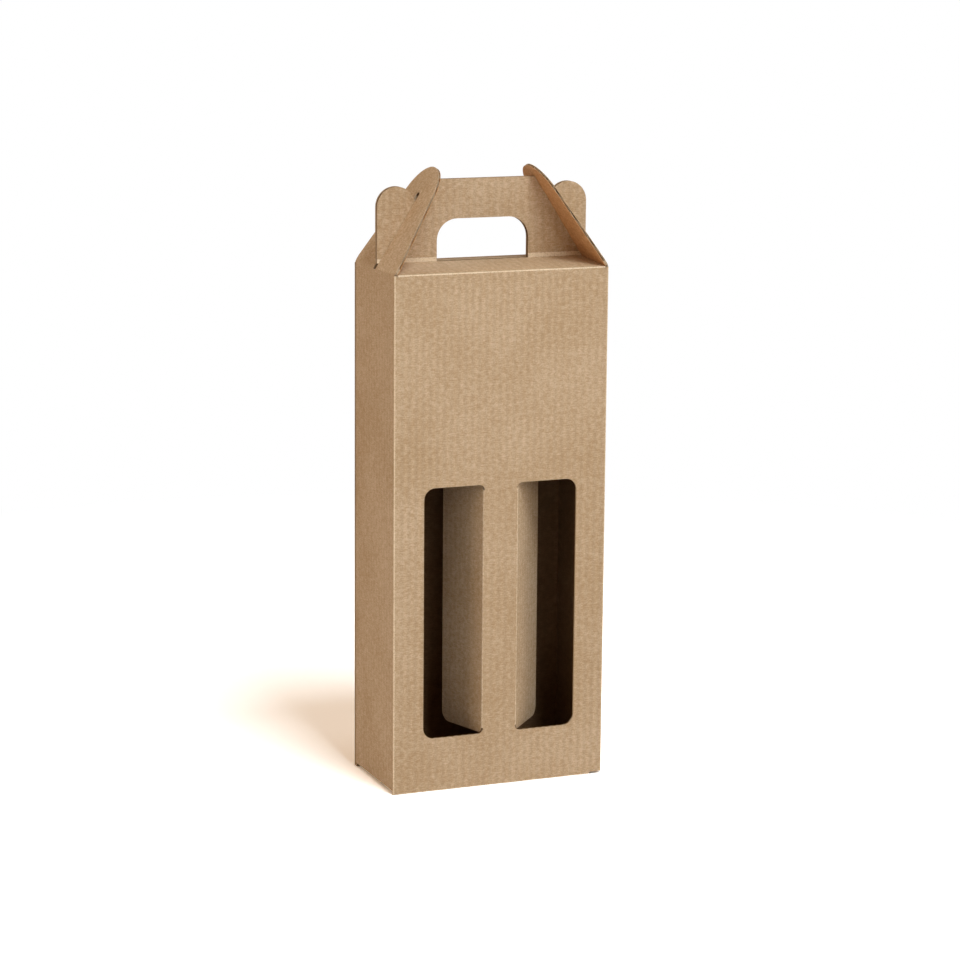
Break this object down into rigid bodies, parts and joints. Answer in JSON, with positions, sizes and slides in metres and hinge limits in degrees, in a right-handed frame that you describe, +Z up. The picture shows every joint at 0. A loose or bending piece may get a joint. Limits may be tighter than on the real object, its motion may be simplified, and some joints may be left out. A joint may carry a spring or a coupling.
{
  "type": "two bottle carry carton",
  "caption": "Tall folded corrugated board carton for two bottles side by side, with front windows, fold-in dividers, locking gable flaps and a carry handle.",
  "frame": {"origin": "middle of the base, on the face that the carton stands on", "axes": "+Z up through the handle, +X to the right along the front, +Y from the windowed front to the back"},
  "size_m": [0.16, 0.08, 0.4372],
  "materials": {
    "kraft_board": "matt brown kraft liner"
  },
  "bodies": {
    "carton": {"carton": "kraft_board"},
    "left_gable_flap": {"left_gable_flap": "kraft_board"},
    "right_gable_flap": {"right_gable_flap": "kraft_board"},
    "left_window_flap": {"left_window_flap": "kraft_board"},
    "right_window_flap": {"right_window_flap": "kraft_board"}
  },
  "joints": [
    {"name": "left_gable_fold", "type": "hinge", "parent": "carton", "child": "left_gable_flap", "pos_m": [-0.079, 0, 0.368], "axis": [0, -1, 0], "range_deg": [0, 122.5]},
    {"name": "right_gable_fold", "type": "hinge", "parent": "carton", "child": "right_gable_flap", "pos_m": [0.079, 0, 0.368], "axis": [0, 1, 0], "range_deg": [0, 122.5]},
    {"name": "left_window_fold", "type": "hinge", "parent": "carton", "child": "left_window_flap", "pos_m": [-0.0122, -0.039, 0.1285], "axis": [0, 0, -1], "range_deg": [-73, 17]},
    {"name": "right_window_fold", "type": "hinge", "parent": "carton", "child": "right_window_flap", "pos_m": [0.0122, -0.039, 0.1285], "axis": [0, 0, 1], "range_deg": [-48.5, 41.5]}
  ]
}
